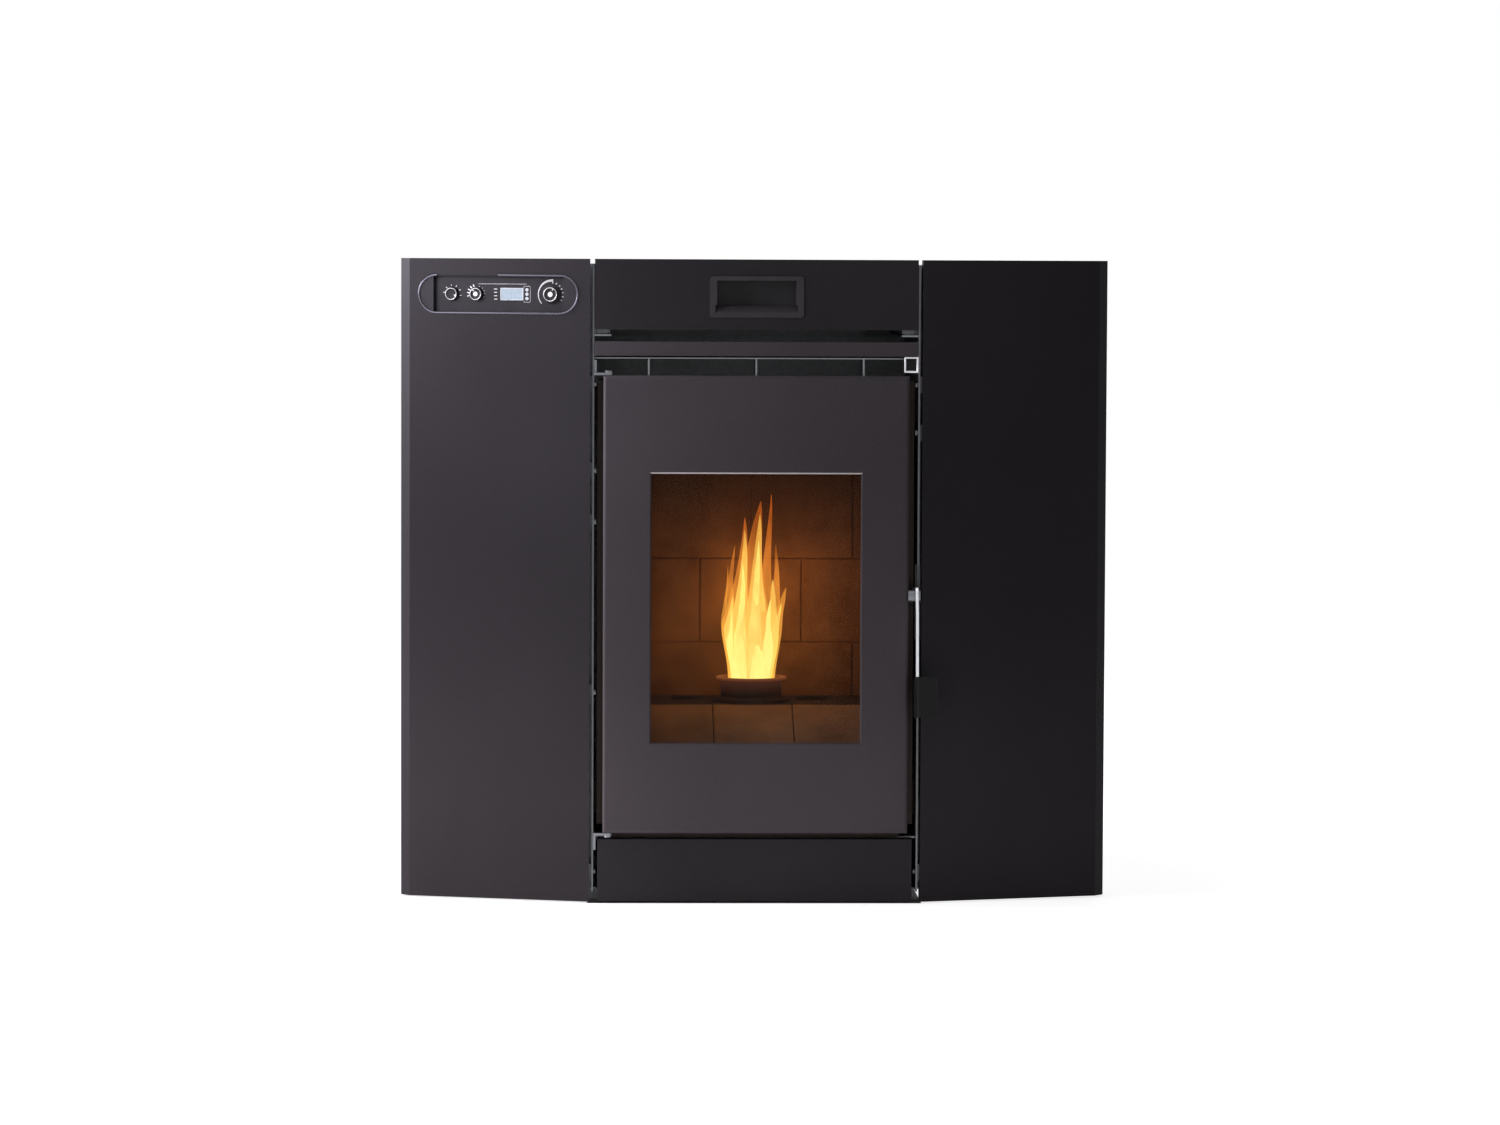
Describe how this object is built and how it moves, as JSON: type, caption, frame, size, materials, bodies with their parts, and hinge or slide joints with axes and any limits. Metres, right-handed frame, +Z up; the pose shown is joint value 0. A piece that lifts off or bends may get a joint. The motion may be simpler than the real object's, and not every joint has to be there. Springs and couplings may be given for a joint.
{
  "type": "pellet fireplace insert",
  "caption": "Pellet-burning fireplace insert with a glazed door, swept side panels, a loading drawer above, an ash drawer below, and the feed, exhaust and warm air gear in a casing behind.",
  "frame": {"origin": "centre of the footprint, on the floor under the levelling feet", "axes": "+Z up, +X to the right as seen from the front, +Y to the back: the door faces -Y"},
  "size_m": [0.845, 0.5535, 0.765],
  "materials": {
    "front_steel": "fine satin paint",
    "bezel_moulding": "satin moulding",
    "circuit_board": "matt",
    "display": "backlit window",
    "light_lens": "clear moulding",
    "knob_moulding": "matt moulding",
    "window_glass": "smoked heat-resisting glass",
    "flat_gasket": "woven glass fibre",
    "rope_seal": "braided glass fibre",
    "zinc_steel": "zinc plated",
    "lever_steel": "satin nickel",
    "grip_moulding": "satin thermoset moulding",
    "handle_moulding": "satin moulding",
    "sheet_steel": "galvanised",
    "frame_paint": "heat-resisting paint",
    "firebox_plate": "heat-resisting paint",
    "hearth_ceramic": "unglazed",
    "liner_ceramic": "unglazed",
    "shelf_iron": "as cast",
    "pot_iron": "burnt",
    "igniter_ceramic": "unglazed",
    "motor_paint": "satin",
    "cast_aluminium": "as cast",
    "wheel_aluminium": "plain",
    "foot_steel": "zinc plated",
    "inlet_moulding": "matt moulding"
  },
  "bodies": {
    "chassis": {"left_side_panel": "front_steel", "right_side_panel": "front_steel", "panel_screws": "zinc_steel", "panel_stays": "sheet_steel", "control_bezel": "bezel_moulding", "control_board": "circuit_board", "display_window": "display", "indicator_lights": "light_lens", "hinge_brackets": "zinc_steel", "hinge_pins": "zinc_steel", "latch_keeper": "zinc_steel", "loading_runners": "zinc_steel", "louvre_bar": "front_steel", "bar_bracket": "zinc_steel", "outlet_fins": "sheet_steel", "front_frame": "frame_paint", "firebox_shell": "firebox_plate", "hearth_tiles": "hearth_ceramic", "pot_shelf": "shelf_iron", "side_liners": "liner_ceramic", "fireback": "liner_ceramic", "baffle_plate": "liner_ceramic", "igniter": "igniter_ceramic", "air_intake_pipe": "zinc_steel", "inner_walls": "sheet_steel", "air_jacket": "sheet_steel", "base_pan": "sheet_steel", "levelling_feet": "foot_steel", "casing_sides": "sheet_steel", "casing_back": "sheet_steel", "casing_top": "sheet_steel", "hopper": "sheet_steel", "auger_tube": "sheet_steel", "auger_motor": "motor_paint", "pellet_chute": "sheet_steel", "flue_duct": "sheet_steel", "exhaust_blower": "cast_aluminium", "warm_air_fan": "cast_aluminium", "power_inlet": "inlet_moulding"},
    "door": {"door_frame": "front_steel", "door_glass": "window_glass", "glass_gasket": "flat_gasket", "glass_retainers": "zinc_steel", "retainer_screws": "zinc_steel", "door_rope_seal": "rope_seal", "latch_pivot": "zinc_steel"},
    "latch": {"latch_lever": "lever_steel", "latch_grip": "grip_moulding"},
    "loading_drawer": {"loading_drawer_front": "front_steel", "handle_cup": "handle_moulding", "loading_tray": "sheet_steel"},
    "ash_drawer": {"ash_drawer_front": "front_steel", "ash_tray": "sheet_steel"},
    "fan_knob": {"fan_speed_knob": "knob_moulding"},
    "feed_knob": {"feed_rate_knob": "knob_moulding"},
    "room_knob": {"thermostat_knob": "knob_moulding"},
    "pot": {"burn_pot": "pot_iron"},
    "feed_screw": {"auger_screw": "sheet_steel"},
    "flue_wheel": {"exhaust_impeller": "wheel_aluminium"},
    "air_wheel": {"fan_wheel": "wheel_aluminium"}
  },
  "joints": [
    {"name": "door_hinge", "type": "hinge", "parent": "chassis", "child": "door", "pos_m": [-0.175, -0.23625, 0.3561], "axis": [0, 0, -1], "range_deg": [0, 110]},
    {"name": "latch_turn", "type": "hinge", "parent": "door", "child": "latch", "pos_m": [0.19095, -0.23625, 0.367], "axis": [-1, 0, 0], "range_deg": [-5.5, 52]},
    {"name": "loading_slide", "type": "slide", "parent": "chassis", "child": "loading_drawer", "axis": [0, -1, 0], "range_m": [0, 0.2]},
    {"name": "ash_slide", "type": "slide", "parent": "chassis", "child": "ash_drawer", "axis": [0, -1, 0], "range_m": [0, 0.24]},
    {"name": "fan_knob_turn", "type": "hinge", "parent": "chassis", "child": "fan_knob", "pos_m": [-0.36146, -0.18359, 0.7227], "axis": [0.2823, 0.9593, 0], "range_deg": [0, 270]},
    {"name": "feed_knob_turn", "type": "hinge", "parent": "chassis", "child": "feed_knob", "pos_m": [-0.3323, -0.19217, 0.7227], "axis": [0.2823, 0.9593, 0], "range_deg": [0, 270]},
    {"name": "room_knob_turn", "type": "hinge", "parent": "chassis", "child": "room_knob", "pos_m": [-0.24327, -0.21837, 0.7227], "axis": [0.2823, 0.9593, 0], "range_deg": [0, 270]},
    {"name": "pot_lift", "type": "slide", "parent": "chassis", "child": "pot", "axis": [0, 0, 1], "range_m": [0, 0.06]},
    {"name": "feed_screw_turn", "type": "hinge", "parent": "chassis", "child": "feed_screw", "pos_m": [-0.08, 0.11175, 0.45], "axis": [1, 0, 0], "continuous": true},
    {"name": "flue_wheel_turn", "type": "hinge", "parent": "chassis", "child": "flue_wheel", "pos_m": [0.212, 0.13475, 0.19], "axis": [1, 0, 0], "continuous": true},
    {"name": "air_wheel_turn", "type": "hinge", "parent": "chassis", "child": "air_wheel", "pos_m": [-0.03, 0.11175, 0.088], "axis": [1, 0, 0], "continuous": true}
  ]
}
